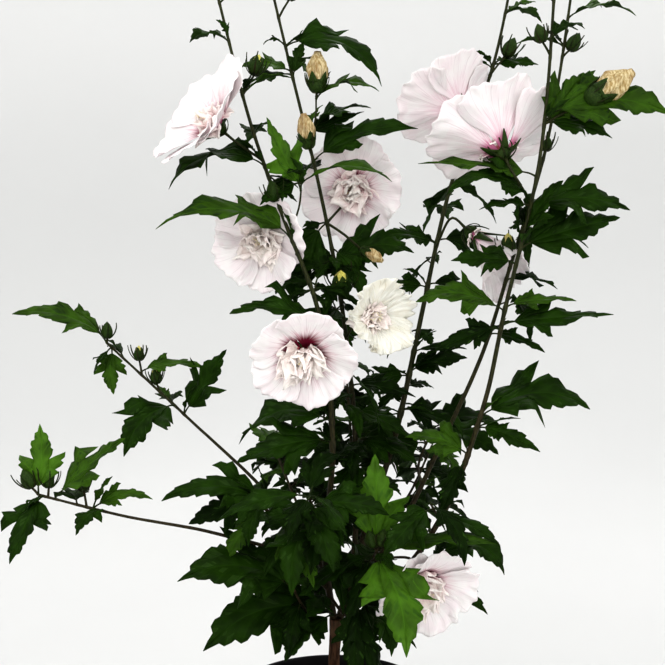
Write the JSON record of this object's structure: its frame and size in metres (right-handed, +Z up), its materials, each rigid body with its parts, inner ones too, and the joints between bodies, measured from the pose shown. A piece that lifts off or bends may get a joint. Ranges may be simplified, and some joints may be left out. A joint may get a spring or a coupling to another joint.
{
  "type": "potted hibiscus shrub",
  "caption": "Loose upright hibiscus shrub with double pale blooms, growing on a short trunk in a round black nursery pot of soil.",
  "frame": {"origin": "centre of the pot's flat underside", "axes": "+Z up along the trunk, -Y towards the viewer of the picture, +X to the viewer's right"},
  "size_m": [0.642, 0.3605, 0.9703],
  "materials": {
    "pot": "black nursery pot plastic, satin, with a rolled rim",
    "soil": "dark moist potting mix with bark chips",
    "bark": "reddish brown bark with fine ridges",
    "green_stems": "half-ripe brown green stems",
    "foliage": "glossy toothed three-lobed leaves with white double blooms, buds and dry spent blooms"
  },
  "bodies": {
    "root": {"pot": "pot", "soil": "soil", "trunk": "bark", "far_right_leader_bough": "green_stems", "inner_right_leader_bough": "green_stems", "left_leader_bough": "green_stems", "lower_left_bough": "green_stems", "middle_leader_bough": "green_stems", "right_leader_bough": "green_stems", "upper_left_bough": "green_stems", "back_left_foliage": "foliage", "back_middle_foliage": "foliage", "back_right_foliage": "foliage", "bright_front_foliage": "foliage", "core_front_foliage": "foliage", "core_left_foliage": "foliage", "core_right_foliage": "foliage", "far_right_leader_foliage": "foliage", "inner_right_leader_foliage": "foliage", "left_leader_foliage": "foliage", "low_back_foliage": "foliage", "low_front_foliage": "foliage", "low_left_foliage": "foliage", "low_right_foliage": "foliage", "lower_left_foliage": "foliage", "mid_right_foliage": "foliage", "middle_leader_foliage": "foliage", "right_leader_foliage": "foliage", "upper_left_foliage": "foliage"}
  },
  "joints": []
}
